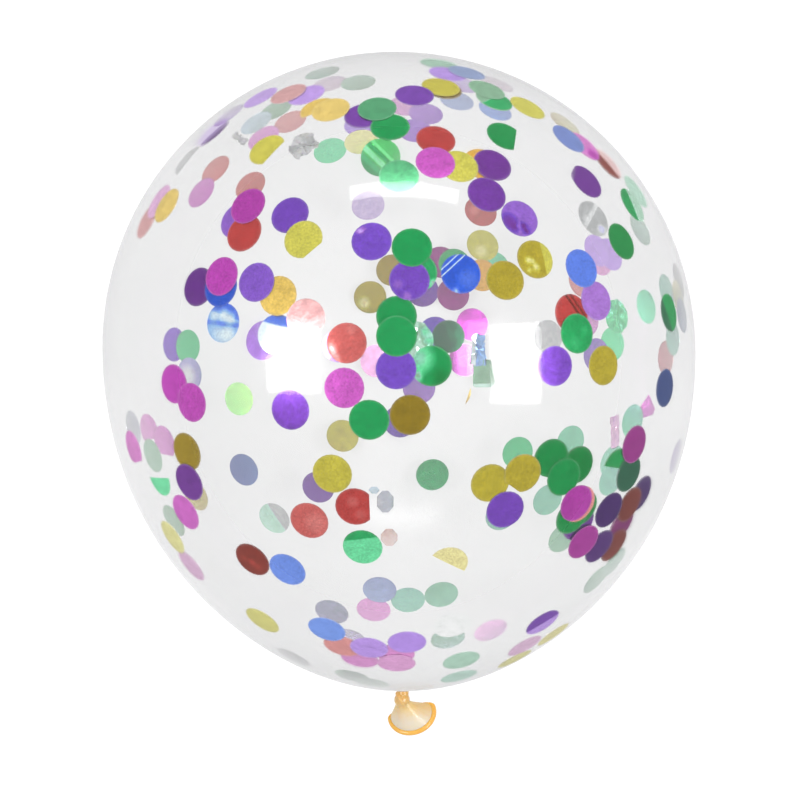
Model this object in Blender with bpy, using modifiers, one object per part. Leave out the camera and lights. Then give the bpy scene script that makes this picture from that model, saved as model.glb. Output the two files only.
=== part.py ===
"""A clear round latex balloon, blown up, tied and lying on its side.

The skin, the knot, the short tail and the rolled lip round its mouth are one dipped piece, so they are
one solid. The blown-up body is sealed by the knot and is solid here; the tail below the knot is an open
funnel with a real wall. Metres, +Z up. The balloon lies along Y with its crown at +Y and its tail at -Y.
The origin is the middle of the small flat spot that it rests on, straight below the widest ring.
"""

import math

import bmesh
import bpy
from mathutils import Matrix, Vector

# Driving dimensions of the blown-up body
GIRTH_R = 0.150  # widest radius, square to the long axis
CROWN_LENGTH = 0.151  # from the widest ring to the crown
HEEL_LENGTH = 0.1725  # from the widest ring to where the neck starts
HEEL_TAPER = 0.08  # how much the heel draws in towards the neck, as a share of its radius
TAPER_ONSET = 4  # how late the heel starts to draw in, as a power
LEAN = 0.0115  # sideways run of the long axis, towards +X, for each metre towards the tail
REST_R = 0.030  # radius of the flat spot under the widest ring

# Driving dimensions of the neck and the knot
NECK_R = 0.0027  # the twisted neck where it leaves the body
NECK_FILLET = 0.0012  # soft corner between the body and the neck
NECK_LENGTH = 0.0050  # from the body to the middle of the knot
KNOT_R = 0.0040  # half of the knot's thickness
STRAND_R = 0.0012  # half of the strand of neck that is wrapped over the knot
STRAND_PROUD = 0.0007  # how far the strand stands out of the knot
KNOT_SIDE = 0.0005  # how far the knot bulges off the axis, towards -X
STRAND_SIDE = 0.0006  # how far the wrapped strand lies off the knot's middle, towards -X
STRAND_SLOPE = math.radians(-62)  # how steeply the strand crosses the knot, seen from above

# Driving dimensions of the tail and its rolled lip
LIP_R = 0.0114  # middle of the rolled bead
BEAD_R = 0.00135  # half of the bead's thickness
TAIL_WALL = 0.0005  # latex of the tail
TAIL_REACH = 0.0097  # from the knot's middle to the mouth's middle, along the long axis
TAIL_SIDE = 0.0045  # the same, sideways off the long axis, towards +X
TAIL_DROP = 0.0070  # the same, downwards
TAIL_FLARE = 1.6  # how late the funnel widens, as a power
MOUTH_YAW = math.radians(16.5)  # the mouth's own turn sideways
MOUTH_PITCH = math.radians(40)  # the mouth's own turn downwards

# How finely round shapes are divided
BODY_STEPS = 56
CROWN_RINGS = 13
HEEL_RINGS = 15
FILLET_RINGS = 3
SMALL_STEPS = 28
BEAD_STEPS = 10
TAIL_RINGS = 7

# Finish of the latex
LATEX_COLOUR = (0.93, 0.94, 0.93, 1.0)
LATEX_ROUGHNESS = 0.08
LATEX_ALPHA = 0.3

AXIS_HEIGHT = math.sqrt(GIRTH_R**2 - REST_R**2)
JOIN_TOLERANCE = 0.00001
CUTTER_MARGIN = 0.05


def clear_scene():
    for thing in list(bpy.data.objects):
        bpy.data.objects.remove(thing, do_unlink=True)


def new_collection(name):
    group = bpy.data.collections.new(name)
    bpy.context.scene.collection.children.link(group)
    return group


def object_from_bmesh(name, shape, group):
    mesh = bpy.data.meshes.new(name)
    shape.to_mesh(mesh)
    shape.free()
    thing = bpy.data.objects.new(name, mesh)
    group.objects.link(thing)
    return thing


def axis_side(along):
    """X of the leaning long axis at this place along it."""
    return -LEAN * along


def body_profile():
    """Half outline of the body and its neck, as (radius, along the axis), from the crown down."""
    points = [(0.0, CROWN_LENGTH)]
    for ring in range(1, CROWN_RINGS):
        angle = math.radians(90) * (1 - ring / CROWN_RINGS)
        points.append((GIRTH_R * math.cos(angle), CROWN_LENGTH * math.sin(angle)))
    corner = NECK_R + NECK_FILLET
    last_angle = math.acos(corner / (GIRTH_R * (1 - HEEL_TAPER)))
    for ring in range(HEEL_RINGS + 1):
        angle = last_angle * ring / HEEL_RINGS
        depth = math.sin(angle)
        taper = 1 - HEEL_TAPER * depth**TAPER_ONSET
        points.append((GIRTH_R * math.cos(angle) * taper, -HEEL_LENGTH * depth))
    heel = points[-1][1]
    for ring in range(1, FILLET_RINGS + 1):
        angle = math.radians(90) * ring / FILLET_RINGS
        radius = corner - NECK_FILLET * math.sin(angle)
        points.append((radius, heel - NECK_FILLET * (1 - math.cos(angle))))
    points.append((NECK_R, -HEEL_LENGTH - NECK_LENGTH))
    points.append((0.0, -HEEL_LENGTH - NECK_LENGTH))
    return points


def turned(name, profile, steps, group):
    """A closed turned solid about local Z, from a profile that runs top to bottom at +X."""
    shape = bmesh.new()
    corners = [shape.verts.new((radius, 0.0, along)) for radius, along in profile]
    for upper, lower in zip(corners, corners[1:]):
        shape.edges.new((upper, lower))
    thing = object_from_bmesh(name, shape, group)
    screw = thing.modifiers.new("Turn", "SCREW")
    screw.axis = "Z"
    screw.steps = steps
    screw.render_steps = steps
    screw.use_merge_vertices = True
    screw.merge_threshold = JOIN_TOLERANCE
    return thing


def apply_modifiers(thing):
    """Replace the object's mesh by what its modifiers make of it."""
    graph = bpy.context.evaluated_depsgraph_get()
    made = bpy.data.meshes.new_from_object(thing.evaluated_get(graph))
    thing.modifiers.clear()
    thing.data = made
    shape = bmesh.new()
    shape.from_mesh(made)
    bmesh.ops.remove_doubles(shape, verts=shape.verts, dist=JOIN_TOLERANCE)
    bmesh.ops.recalc_face_normals(shape, faces=shape.faces)
    shape.to_mesh(made)
    shape.free()


def make_body(group):
    """The blown-up body with its neck, laid along Y, leaning, at its height above the floor."""
    body = turned("balloon", body_profile(), BODY_STEPS, group)
    apply_modifiers(body)
    lay_down = Matrix.Rotation(math.radians(-90), 4, "X")
    lean = Matrix.Identity(4)
    lean[0][1] = -LEAN
    lift = Matrix.Translation((0, 0, AXIS_HEIGHT))
    body.data.transform(lift @ lean @ lay_down)
    return body


def knot_middle():
    along = -HEEL_LENGTH - NECK_LENGTH
    return Vector((axis_side(along) - KNOT_SIDE, along, AXIS_HEIGHT))


def mouth_middle():
    along = knot_middle().y - TAIL_REACH
    return Vector((axis_side(along) + TAIL_SIDE, along, AXIS_HEIGHT - TAIL_DROP))


def mouth_turn():
    """Turns local +Z into the way the mouth faces: along -Y, swung sideways and downwards."""
    return (
        Matrix.Rotation(MOUTH_YAW, 4, "Z")
        @ Matrix.Rotation(MOUTH_PITCH, 4, "X")
        @ Matrix.Rotation(math.radians(90), 4, "X")
    )


def make_knot(group):
    """The lump of the knot, a little longer than wide."""
    shape = bmesh.new()
    bmesh.ops.create_uvsphere(shape, u_segments=SMALL_STEPS, v_segments=SMALL_STEPS // 2, radius=KNOT_R)
    bmesh.ops.transform(shape, matrix=Matrix.Translation(knot_middle()), verts=shape.verts)
    return object_from_bmesh("knot_lump", shape, group)


def make_torus(name, ring_r, tube_r, place, group):
    """A closed ring: a small circle moved out to the ring's radius and spun about local Z."""
    shape = bmesh.new()
    upright = Matrix.Translation((ring_r, 0, 0)) @ Matrix.Rotation(math.radians(90), 4, "X")
    bmesh.ops.create_circle(shape, segments=BEAD_STEPS, radius=tube_r, matrix=upright)
    bmesh.ops.spin(
        shape,
        geom=shape.edges[:],
        cent=(0, 0, 0),
        axis=(0, 0, 1),
        angle=math.radians(360),
        steps=SMALL_STEPS,
        use_merge=True,
    )
    bmesh.ops.recalc_face_normals(shape, faces=shape.faces)
    bmesh.ops.transform(shape, matrix=place, verts=shape.verts)
    return object_from_bmesh(name, shape, group)


def make_strand(group):
    """The strand of neck that wraps slantwise over the knot."""
    middle = knot_middle() - Vector((STRAND_SIDE, 0, 0))
    slant = Matrix.Rotation(STRAND_SLOPE, 4, "Z") @ Matrix.Rotation(math.radians(90), 4, "X")
    place = Matrix.Translation(middle) @ slant
    return make_torus("knot_strand", KNOT_R + STRAND_PROUD - STRAND_R, STRAND_R, place, group)


def make_tail(group):
    """The open funnel from the knot to the rolled lip, with its wall inwards."""
    start = Matrix.Translation(knot_middle()) @ Matrix.Rotation(math.radians(90), 4, "X")
    end = Matrix.Translation(mouth_middle()) @ mouth_turn()
    shape = bmesh.new()
    bmesh.ops.create_circle(shape, segments=SMALL_STEPS, radius=NECK_R, matrix=start)
    loop = shape.edges[:]
    previous = start
    previous_r = NECK_R
    for ring in range(1, TAIL_RINGS + 1):
        share = ring / TAIL_RINGS
        place = Matrix.LocRotScale(
            start.translation.lerp(end.translation, share),
            start.to_quaternion().slerp(end.to_quaternion(), share),
            None,
        )
        radius = NECK_R + (LIP_R - NECK_R) * share**TAIL_FLARE
        made = bmesh.ops.extrude_edge_only(shape, edges=loop)["geom"]
        loop = [part for part in made if isinstance(part, bmesh.types.BMEdge)]
        moved = [part for part in made if isinstance(part, bmesh.types.BMVert)]
        step = place @ Matrix.Scale(radius / previous_r, 4) @ previous.inverted()
        bmesh.ops.transform(shape, matrix=step, verts=moved)
        previous = place
        previous_r = radius
    bmesh.ops.recalc_face_normals(shape, faces=shape.faces)
    tail = object_from_bmesh("tail_wall", shape, group)
    wall = tail.modifiers.new("Wall", "SOLIDIFY")
    wall.thickness = TAIL_WALL
    wall.offset = 0
    apply_modifiers(tail)
    return tail


def make_lip(group):
    place = Matrix.Translation(mouth_middle()) @ mouth_turn()
    return make_torus("rolled_lip", LIP_R, BEAD_R, place, group)


def make_rest_cutter(group):
    """A block whose top is the floor, to cut the flat spot."""
    length = GIRTH_R + CUTTER_MARGIN
    shape = bmesh.new()
    bmesh.ops.create_cube(shape, size=2 * length)
    bmesh.ops.translate(shape, vec=(0, 0, -length), verts=shape.verts)
    return object_from_bmesh("rest_cutter", shape, group)


def join(body, other, operation):
    modifier = body.modifiers.new(other.name, "BOOLEAN")
    modifier.operation = operation
    modifier.object = other
    modifier.solver = "EXACT"


def latex_material():
    material = bpy.data.materials.new("clear latex")
    material.use_nodes = True
    shader = material.node_tree.nodes["Principled BSDF"]
    shader.inputs["Base Color"].default_value = LATEX_COLOUR
    shader.inputs["Roughness"].default_value = LATEX_ROUGHNESS
    shader.inputs["Metallic"].default_value = 0.0
    shader.inputs["Alpha"].default_value = LATEX_ALPHA
    return material


def hide_cutters(group):
    for thing in group.objects:
        thing.hide_render = True
        thing.display_type = "WIRE"


def main():
    clear_scene()
    parts = new_collection("confetti balloon")
    cutters = new_collection("cutters")
    body = make_body(parts)
    join(body, make_tail(cutters), "UNION")
    join(body, make_knot(cutters), "UNION")
    join(body, make_strand(cutters), "UNION")
    join(body, make_lip(cutters), "UNION")
    join(body, make_rest_cutter(cutters), "DIFFERENCE")
    hide_cutters(cutters)
    body.data.materials.append(latex_material())
    body.data.shade_smooth()


main()
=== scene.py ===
# %% [markdown]
# # A confetti balloon
# A round balloon of clear latex, blown up, tied and lying on its side, with loose foil confetti
# clinging to the inside of its skin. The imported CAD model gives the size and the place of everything.
# The looks are made round it: the clear film, the amber knot and tail, and a few hundred foil discs.

# %% The frame
import math
import random

import bmesh
import bpy
from mathutils import Matrix, Vector
from mathutils.bvhtree import BVHTree


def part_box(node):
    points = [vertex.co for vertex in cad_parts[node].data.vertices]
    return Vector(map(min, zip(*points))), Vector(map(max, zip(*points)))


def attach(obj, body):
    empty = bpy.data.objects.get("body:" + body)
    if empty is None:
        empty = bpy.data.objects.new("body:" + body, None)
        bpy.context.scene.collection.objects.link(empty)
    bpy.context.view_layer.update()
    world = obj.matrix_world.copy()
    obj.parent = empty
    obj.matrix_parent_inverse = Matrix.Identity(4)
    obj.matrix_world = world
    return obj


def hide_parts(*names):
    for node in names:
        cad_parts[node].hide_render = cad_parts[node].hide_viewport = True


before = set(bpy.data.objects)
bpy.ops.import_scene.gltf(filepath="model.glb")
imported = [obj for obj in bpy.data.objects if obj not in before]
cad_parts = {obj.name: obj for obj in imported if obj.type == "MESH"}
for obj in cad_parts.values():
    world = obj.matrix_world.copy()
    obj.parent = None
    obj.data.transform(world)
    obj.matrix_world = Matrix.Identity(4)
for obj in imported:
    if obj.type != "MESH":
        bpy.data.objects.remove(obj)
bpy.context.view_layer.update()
low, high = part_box("balloon")
print("CAD box in mm:", [round(1000 * side, 1) for side in high - low])

# %% [markdown]
# ## The camera
# The balloon was seen square to its long axis with its crown up the picture. Lying on the floor it is
# seen from straight above. One pixel is a known size at the depth of the long axis, so that a place in
# the picture can be turned into a line of sight, and the line of sight into a place on the skin.

# %% Camera
PICTURE_PX = 800
PIXEL_SIZE = 0.000509  # metres across one pixel, at the long axis
EYE_ABOVE_AXIS = 1.33
AXIS_PX = (399, 351)  # where the widest ring's middle is seen
SENSOR_MM = 36

GIRTH_R = (high.x - low.x) / 2
AXIS_HEIGHT = high.z - GIRTH_R
eye = Vector((
    (PICTURE_PX / 2 - AXIS_PX[0]) * PIXEL_SIZE,
    (AXIS_PX[1] - PICTURE_PX / 2) * PIXEL_SIZE,
    AXIS_HEIGHT + EYE_ABOVE_AXIS,
))
scene = bpy.context.scene
camera = bpy.data.objects.new("camera", bpy.data.cameras.new("camera"))
camera.data.sensor_width = SENSOR_MM
camera.data.lens = SENSOR_MM * EYE_ABOVE_AXIS / (PIXEL_SIZE * PICTURE_PX)
camera.location = eye
scene.collection.objects.link(camera)
scene.camera = camera
print("lens in mm:", round(camera.data.lens, 1))


def line_of_sight(across_px, down_px):
    """Way from the eye through one pixel of the picture."""
    side = (across_px - PICTURE_PX / 2) * PIXEL_SIZE
    up = (PICTURE_PX / 2 - down_px) * PIXEL_SIZE
    return Vector((side, up, -EYE_ABOVE_AXIS)).normalized()


# %% [markdown]
# ## Shader maths as Python
# A material is a tree of nodes. Wiring Math nodes by hand is long and hard to read, so a small class
# wraps a socket and lets it take part in Python expressions. Every other node comes from one method.

# %% Helpers for materials
class Link:
    """A shader socket that takes part in Python sums."""

    def __init__(self, finish, socket):
        self.finish = finish
        self.socket = socket

    def sum(self, operation, first, second):
        """One Math node that works out one sum."""
        return self.finish.node("ShaderNodeMath", {"operation": operation}, {0: first, 1: second})

    def __add__(self, other):
        return self.sum("ADD", self, other)

    def __sub__(self, other):
        return self.sum("SUBTRACT", self, other)

    def __rsub__(self, other):
        return self.sum("SUBTRACT", other, self)

    def __mul__(self, other):
        return self.sum("MULTIPLY", self, other)

    def __truediv__(self, other):
        return self.sum("DIVIDE", self, other)

    def __rtruediv__(self, other):
        return self.sum("DIVIDE", other, self)

    def __pow__(self, other):
        return self.sum("POWER", self, other)

    def __rpow__(self, other):
        return self.sum("POWER", other, self)

    __radd__ = __add__
    __rmul__ = __mul__

    def at_least(self, least):
        return self.sum("MAXIMUM", self, least)


class Finish:
    """A node material, wired from its inputs to the surface that shows."""

    def __init__(self, name):
        self.material = bpy.data.materials.new(name)
        self.material.use_nodes = True
        self.tree = self.material.node_tree
        self.tree.nodes.clear()

    def node(self, kind, settings=None, sockets=None, output=0):
        """Adds a node: its settings are set first, then its sockets get values or links."""
        made = self.tree.nodes.new(kind)
        for name, setting in (settings or {}).items():
            if name == "stops":
                self.set_stops(made.color_ramp, setting)
            else:
                setattr(made, name, setting)
        for name, given in (sockets or {}).items():
            if isinstance(given, Link):
                self.tree.links.new(given.socket, made.inputs[name])
            else:
                made.inputs[name].default_value = given
        return Link(self, made.outputs[output]) if len(made.outputs) else made

    def noise(self, place, scale, detail):
        """A cloudy pattern of numbers from 0 to 1."""
        return self.node("ShaderNodeTexNoise", {}, {"Vector": place, "Scale": scale, "Detail": detail})

    def set_stops(self, ramp, stops):
        while len(ramp.elements) < len(stops):
            ramp.elements.new(1.0)
        for element, (place, colour) in zip(ramp.elements, stops):
            element.position = place
            element.color = (*colour, 1)

    def show(self, shader):
        self.node("ShaderNodeOutputMaterial", {}, {"Surface": shader})
        return self.material


# %% [markdown]
# ## From a bmesh to a piece
# Every piece is shaped right where it belongs. Its object could carry that place instead, but an object
# at the origin keeps each pattern still when the model is exported.

# %% Helper for pieces
def new_piece(name, shape, material):
    """A finished piece in the scene from a bmesh, with its place in its mesh."""
    mesh = bpy.data.meshes.new(name)
    for face in shape.faces:
        face.smooth = True
    shape.to_mesh(mesh)
    shape.free()
    mesh.materials.append(material)
    piece = bpy.data.objects.new(name, mesh)
    scene.collection.objects.link(piece)
    print(name, "has", len(mesh.polygons), "faces")
    return piece


# %% [markdown]
# ## A white studio
# The balloon lies on a white table top that glows a little, as one of lit acrylic does. A painted one
# would go grey in the balloon's shadow. The room round it is plain and pale.

# %% Floor and room
WHITE = (1, 1, 1, 1)
FLOOR_R = 14.0  # far past the edge of every view
FLOOR_SIDES = 96
FLOOR_PAINT = (0.22, 0.22, 0.22, 1)
FLOOR_GLOW = 0.77
ROOM_LIGHT = 0.72

floor_shape = bmesh.new()
bmesh.ops.create_circle(floor_shape, cap_ends=True, segments=FLOOR_SIDES, radius=FLOOR_R)
table = Finish("white_table")
glow = table.node("ShaderNodeEmission", {}, {"Color": WHITE, "Strength": FLOOR_GLOW})
paint = table.node("ShaderNodeBsdfDiffuse", {}, {"Color": FLOOR_PAINT})
lit_paint = table.node("ShaderNodeAddShader", {}, {0: glow, 1: paint})
floor = new_piece("floor", floor_shape, table.show(lit_paint))

room = bpy.data.worlds.new("pale_room")
room.use_nodes = True
walls = room.node_tree.nodes["Background"]
walls.inputs["Color"].default_value = WHITE
walls.inputs["Strength"].default_value = ROOM_LIGHT
scene.world = room
scene.view_settings.view_transform = "Standard"

# %% [markdown]
# ## Softboxes
# The clear film is a curved mirror, so each light shows on it as a bright patch. A patch tells where
# its light is: a patch seen on the skin at some angle from the middle mirrors a light at twice that
# angle. Two broad softboxes hang to the left and right, and a long narrow one lower down, beyond the
# crown.

# %% Lights
LIGHT_DISTANCE = 1.6
SOFTBOX_BRIGHTNESS = 14.0  # of each square metre, so that a larger one gives more light
middle = Vector((0, 0, AXIS_HEIGHT))


def softbox(name, across_deg, along_deg, width, length):
    """A flat light, tilted off the zenith towards +X and towards +Y, that faces the balloon."""
    across, along = math.tan(math.radians(across_deg)), math.tan(math.radians(along_deg))
    way = Vector((across, along, 1)).normalized()
    side = (Vector((1, 0, 0)) - way * way.x).normalized()
    lamp = bpy.data.lights.new(name, "AREA")
    lamp.shape = "RECTANGLE"
    lamp.size, lamp.size_y = width, length
    lamp.energy = SOFTBOX_BRIGHTNESS * width * length * math.pi
    light = bpy.data.objects.new(name, lamp)
    light.location = middle + LIGHT_DISTANCE * way
    light.rotation_euler = Matrix((side, way.cross(side), way)).transposed().to_euler()
    light.visible_camera = False
    scene.collection.objects.link(light)
    print(name, "hangs at", [round(part, 2) for part in light.location])


softbox("left_softbox", across_deg=-38.3, along_deg=-3.2, width=0.57, length=0.52)
softbox("right_softbox", across_deg=42.5, along_deg=-3.5, width=0.55, length=0.625)
softbox("crown_softbox", across_deg=4.0, along_deg=58.2, width=0.96, length=0.165)

# %% [markdown]
# ## The skin
# A balloon is dipped latex that air has stretched into a film far thinner than a sheet of paper. Its
# shape is a turned one, round at the crown and a little drawn in towards the neck. It could be a
# sphere pulled by hand, but half its outline spun about the long axis gives the true profile.

# %% Skin outline
HEEL_LENGTH = 0.1725  # from the widest ring to the neck
HEEL_TAPER = 0.08  # share by which the neck's end is drawn in
TAPER_ONSET = 4  # a higher one draws it in later
NECK_R = 0.0027
NECK_FILLET = 0.0012
NECK_LENGTH = 0.0050
FILLET_SHARES = (0.35, 0.7, 1)  # of the fillet's turn, a point at each
CROWN_LENGTH = high.y
CROWN_RINGS = 36
HEEL_RINGS = 44
QUARTER_TURN = math.radians(90)


def skin_outline():
    """Half outline from the crown to the inside of the knot, as (radius, place along the axis)."""
    corner = NECK_R + NECK_FILLET
    last_angle = math.acos(corner / (GIRTH_R * (1 - HEEL_TAPER)))
    points = []
    for ring in range(CROWN_RINGS):
        angle = QUARTER_TURN * (1 - ring / CROWN_RINGS)
        points.append((GIRTH_R * math.cos(angle), CROWN_LENGTH * math.sin(angle)))
    for ring in range(HEEL_RINGS + 1):
        angle = last_angle * ring / HEEL_RINGS
        taper = 1 - HEEL_TAPER * math.sin(angle) ** TAPER_ONSET
        points.append((GIRTH_R * math.cos(angle) * taper, -HEEL_LENGTH * math.sin(angle)))
    points[0] = (0, CROWN_LENGTH)
    heel = points[-1][1]
    for share in FILLET_SHARES:
        turn = QUARTER_TURN * share
        points.append((corner - NECK_FILLET * math.sin(turn), heel - NECK_FILLET * (1 - math.cos(turn))))
    points.append((NECK_R, -HEEL_LENGTH - NECK_LENGTH))
    points.append((0, -HEEL_LENGTH - NECK_LENGTH))
    return points


print("skin outline has", len(skin_outline()), "points")

# %% [markdown]
# ## Spun, leaned and laid down
# The outline is spun upright, laid on its side and leaned a little. The skin is flat where it rests.
# Pushing points down would bunch them up, so a plane cuts the flat spot and an inset softens its edge.

# %% Skin shape
LEAN = 0.0115  # sideways run of the long axis for each metre towards the tail
SKIN_STEPS = 144
REST_EDGE = 0.003  # soft edge of the flat spot that it rests on
REST_GAP = 0.0001  # keeps the film and the floor from sharing a plane
WELD = 0.00001  # points closer than this are one


def along_axis(along, side=0.0, lift=0.0):
    """Place on the leaning long axis, moved sideways and up."""
    return Vector((side - LEAN * along, along, AXIS_HEIGHT + lift))


def spin_round(shape, parts, steps):
    """Spins parts of a shape a full turn about Z."""
    bmesh.ops.spin(
        shape, geom=parts, cent=(0, 0, 0), axis=(0, 0, 1), angle=math.tau, steps=steps, use_merge=True
    )


def cut_along(shape, spot, way, clip):
    """Cuts a shape along a plane, and takes away what lies beyond it if it is clipped."""
    everything = shape.verts[:] + shape.edges[:] + shape.faces[:]
    return bmesh.ops.bisect_plane(shape, geom=everything, plane_co=spot, plane_no=way, clear_outer=clip)


def faces_out(shape):
    """Makes every face of a shape point outwards."""
    bmesh.ops.recalc_face_normals(shape, faces=shape.faces)


def spun(points, steps):
    """A closed turned shape about local Z."""
    shape = bmesh.new()
    corners = [shape.verts.new((radius, 0, along)) for radius, along in points]
    rim = [shape.edges.new(pair) for pair in zip(corners, corners[1:])]
    spin_round(shape, corners + rim, steps)
    bmesh.ops.remove_doubles(shape, verts=shape.verts, dist=WELD)
    faces_out(shape)
    return shape


skin_shape = spun(skin_outline(), SKIN_STEPS)
lean = Matrix.Identity(4)
lean[0][1] = -LEAN
lay_down = Matrix.Translation((0, 0, AXIS_HEIGHT)) @ lean @ Matrix.Rotation(-QUARTER_TURN, 4, "X")
bmesh.ops.transform(skin_shape, matrix=lay_down, verts=skin_shape.verts)
cut = cut_along(skin_shape, (0, 0, REST_GAP), (0, 0, -1), clip=True)
rest_rim = [part for part in cut["geom_cut"] if isinstance(part, bmesh.types.BMEdge)]
rest_spot = bmesh.ops.contextual_create(skin_shape, geom=rest_rim)["faces"]
bmesh.ops.inset_region(skin_shape, faces=rest_spot, thickness=REST_EDGE)
faces_out(skin_shape)
skin_tree = BVHTree.FromBMesh(skin_shape)
print("skin closed:", all(edge.is_manifold for edge in skin_shape.edges))

# %% [markdown]
# ## Clear film
# Stretched latex lets most light straight through. It scatters a little, which lays a veil over
# whatever is behind it and thickens towards the outline, where the line of sight runs along the film.
# And it mirrors like any smooth plastic, weakly face on and strongly at a glancing angle, but less
# sharply on its inner face, which is dusted with powder. A glass shader would bend what lies behind a
# film this thin, so clear, scattering and glossy parts are mixed by the facing angle instead.

# %% Film finish
FILM_CLEAR = (0.94, 0.94, 0.94, 1)
FILM_HAZE = 0.20  # share scattered face on
FILM_HAZE_COLOUR = (0.785, 0.787, 0.79, 1)
HAZE_SPREAD = 1.05  # how fast it thickens towards the outline
FILM_BACK_SHARE = 0.015  # of the haze, what goes back to where it came from
FILM_MIRROR = 0.024  # share mirrored face on
FILM_EDGE_MIRROR = 0.08  # and what the outline adds to it
FILM_ROUGHNESS = 0.08
DUSTED_ROUGHNESS = 0.22  # of the inner face
LEAST_COSINE = 0.09  # stops the haze from growing without end at the very outline
MIRROR_ONSET = 5  # a higher one keeps the extra mirroring nearer to the outline

film = Finish("clear_latex_film")
facing = film.node("ShaderNodeLayerWeight", output="Facing")
cosine = (1 - facing).at_least(LEAST_COSINE)
haze = 1 - (1 - FILM_HAZE) ** ((1 / cosine) ** HAZE_SPREAD)
mirror = FILM_MIRROR + FILM_EDGE_MIRROR * facing ** MIRROR_ONSET
clear = film.node("ShaderNodeBsdfTransparent", {}, {"Color": FILM_CLEAR})
back_lit = film.node("ShaderNodeBsdfTranslucent", {}, {"Color": FILM_HAZE_COLOUR})
front_lit = film.node("ShaderNodeBsdfDiffuse", {}, {"Color": FILM_HAZE_COLOUR})
scatter = film.node("ShaderNodeMixShader", {}, {0: FILM_BACK_SHARE, 1: back_lit, 2: front_lit})
inside = film.node("ShaderNodeNewGeometry", output="Backfacing")
roughness = FILM_ROUGHNESS + (DUSTED_ROUGHNESS - FILM_ROUGHNESS) * inside
gloss = film.node("ShaderNodeBsdfGlossy", {}, {"Color": WHITE, "Roughness": roughness})
body = film.node("ShaderNodeMixShader", {}, {0: haze, 1: clear, 2: scatter})
film_material = film.show(film.node("ShaderNodeMixShader", {}, {0: mirror, 1: body, 2: gloss}))

skin = new_piece("clear_skin", skin_shape, film_material)
skin.visible_shadow = False
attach(skin, "root")
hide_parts("balloon")

# %% [markdown]
# ## The knot
# The neck is stretched, wrapped once round itself and pulled through, which leaves a small lump with
# a strand slanting over it. Unstretched latex is thick and amber. The lump, the strand and the stem
# are made as simple shapes that overlap, and a voxel remesh melts them into one soft skin.

# %% Knot and stem
KNOT_R = 0.0040
STRAND_R = 0.0012
STRAND_PROUD = 0.0007
KNOT_SIDE = 0.0005
STRAND_SIDE = 0.0006
STRAND_SLOPE = math.radians(-62)
STEM_BELOW_HEEL = 0.0006
STEM_PAST_KNOT = 0.004
STEM_R = NECK_R + 0.0002  # a little proud of the film's neck
BALL_STEPS = 32
BALL_RINGS = 20
SMALL_STEPS = 48
TUBE_STEPS = 16

knot_along = -HEEL_LENGTH - NECK_LENGTH
knot_middle = along_axis(knot_along, side=-KNOT_SIDE)


def add_ring(shape, ring_r, tube_r, place, steps=SMALL_STEPS, tube_steps=TUBE_STEPS):
    """A ring: a small circle moved out to the ring's radius and spun."""
    upright = Matrix.Translation((ring_r, 0, 0)) @ Matrix.Rotation(QUARTER_TURN, 4, "X")
    circle = bmesh.ops.create_circle(shape, segments=tube_steps, radius=tube_r, matrix=upright)["verts"]
    edges = list({edge for vert in circle for edge in vert.link_edges})
    before = set(shape.verts) - set(circle)
    spin_round(shape, circle + edges, steps)
    made = [vert for vert in shape.verts if vert not in before]
    bmesh.ops.transform(shape, matrix=place, verts=made)
    return made


knot_shape = bmesh.new()
bmesh.ops.create_uvsphere(
    knot_shape,
    u_segments=BALL_STEPS,
    v_segments=BALL_RINGS,
    radius=KNOT_R,
    matrix=Matrix.Translation(knot_middle),
)
slant = Matrix.Rotation(STRAND_SLOPE, 4, "Z") @ Matrix.Rotation(QUARTER_TURN, 4, "X")
strand_place = Matrix.Translation(knot_middle - Vector((STRAND_SIDE, 0, 0))) @ slant
add_ring(knot_shape, KNOT_R + STRAND_PROUD - STRAND_R, STRAND_R, strand_place)
stem_top = along_axis(-HEEL_LENGTH - STEM_BELOW_HEEL)
stem_end = along_axis(knot_along - STEM_PAST_KNOT)
stem_turn = (stem_end - stem_top).normalized().to_track_quat("Z", "Y").to_matrix().to_4x4()
bmesh.ops.create_cone(
    knot_shape,
    cap_ends=True,
    segments=BALL_STEPS,
    radius1=STEM_R,
    radius2=STEM_R,
    depth=(stem_end - stem_top).length,
    matrix=Matrix.Translation((stem_top + stem_end) / 2) @ stem_turn,
)
faces_out(knot_shape)
print("knot lies at", [round(1000 * part, 1) for part in knot_middle], "mm")

# %% [markdown]
# ## Amber latex
# Where nobody has stretched it, the same latex is half a millimetre thick: amber, cloudy and a little
# greasy. It is deepest in the knot and the lip and pales down the tail, which one plain amber wouldn't
# show. So a colour ramp runs along the balloon, and a cloudy noise breaks it up.

# %% Amber finish
AMBER_DEEP = (0.64, 0.345, 0.052)
AMBER_GOLD = (0.515, 0.29, 0.07)
AMBER_PALE = (0.57, 0.38, 0.15)
CREAM = (0.53, 0.475, 0.385)
CLOUD_SCALE = 420.0
CLOUD_DETAIL = 3.0
CLOUD_DEPTH = 0.55
AMBER_SOAK = 0.35  # share of the light that goes into the latex
AMBER_SOAK_REACH = (0.004, 0.002, 0.0008)  # how far its red, green and blue go
AMBER_GREASE = 0.25
GREASE_ROUGHNESS = 0.12
KNOT_ROUGHNESS = 0.32
KNOT_FADE = 0.004  # both ways from the knot's middle


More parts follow.
